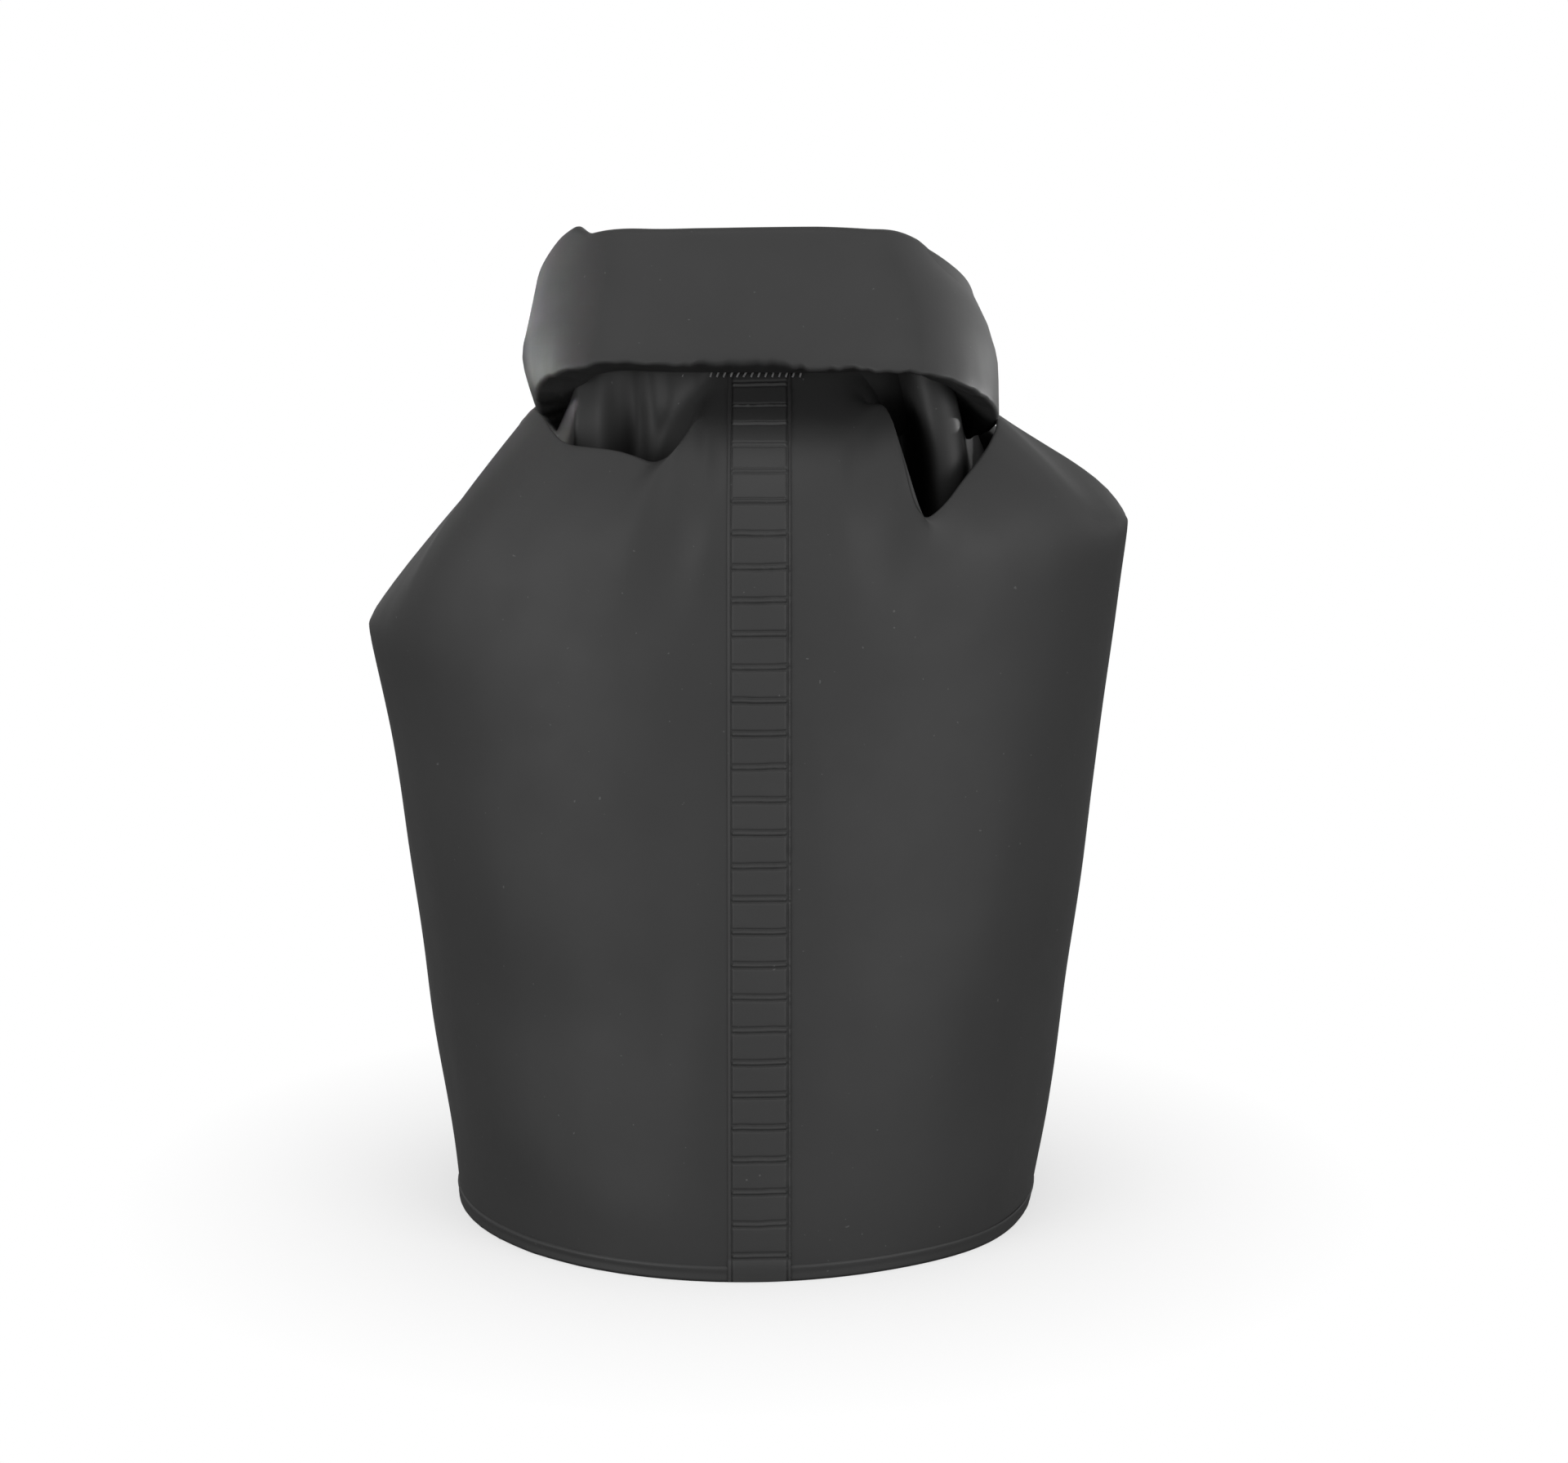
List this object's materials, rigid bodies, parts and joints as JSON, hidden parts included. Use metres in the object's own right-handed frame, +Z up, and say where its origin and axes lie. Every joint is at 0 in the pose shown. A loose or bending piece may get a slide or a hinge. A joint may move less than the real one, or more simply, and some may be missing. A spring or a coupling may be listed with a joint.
{
  "type": "roll-top dry bag",
  "caption": "Round-based bag of coated sheet whose mouth is rolled over stiffeners, bent into a carry loop and held by a side-release buckle, with a D-ring.",
  "frame": {"origin": "centre of the base's underside, on the rest plane", "axes": "+Z up, -Y the side with the ladder-welded seam, which faces the viewer, +X to that viewer's right"},
  "size_m": [0.258, 0.2019, 0.3366],
  "materials": {
    "coated_sheet": "satin",
    "welded_sheet": "satin",
    "webbing": "matte",
    "thread": "matte",
    "stiffener": "satin",
    "buckle": "satin",
    "steel": "satin"
  },
  "bodies": {
    "bag": {"body_tube": "coated_sheet", "base_panel": "coated_sheet", "base_weld_band": "welded_sheet", "seam_strip": "welded_sheet", "collar_stitching": "thread"},
    "closure_roll": {"roll_wrap": "coated_sheet", "front_hem_sleeve": "coated_sheet", "back_hem_sleeve": "coated_sheet", "front_stiffener": "stiffener", "back_stiffener": "stiffener", "tab_left": "webbing", "tab_right": "webbing", "tab_left_stitching": "thread", "tab_right_stitching": "thread", "buckle_socket": "buckle", "ring_keeper": "webbing", "ring_keeper_stitching": "thread"},
    "plug": {"buckle_plug": "buckle"},
    "upper_prong": {"prong_upper": "buckle"},
    "lower_prong": {"prong_lower": "buckle"},
    "ring": {"d_ring": "steel"}
  },
  "joints": [
    {"name": "roll_tilt", "type": "hinge", "parent": "bag", "child": "closure_roll", "pos_m": [0.005, -0.04573, 0.30114], "axis": [1, 0, 0], "range_deg": [0, 25]},
    {"name": "buckle_release", "type": "slide", "parent": "closure_roll", "child": "plug", "axis": [-1, 0, 0], "range_m": [0, 0.02], "deforming": ["prong_upper", "prong_lower", "tab_left", "tab_left_stitching"]},
    {"name": "prong_upper_squeeze", "type": "hinge", "parent": "plug", "child": "upper_prong", "pos_m": [-0.00565, 0.04189, 0.2744], "axis": [0, 0.8572, -0.515], "range_deg": [0, 12]},
    {"name": "prong_lower_squeeze", "type": "hinge", "parent": "plug", "child": "lower_prong", "pos_m": [-0.00565, 0.03447, 0.26205], "axis": [0, 0.8572, -0.515], "range_deg": [-13, 0]},
    {"name": "d_ring_swing", "type": "hinge", "parent": "closure_roll", "child": "ring", "pos_m": [0.0356, 0.04253, 0.26561], "axis": [0, 0.515, 0.8572], "range_deg": [-20, 145]}
  ],
  "couplings": [
    {"joint": "prong_lower_squeeze", "follows": "prong_upper_squeeze", "ratio": -1}
  ]
}
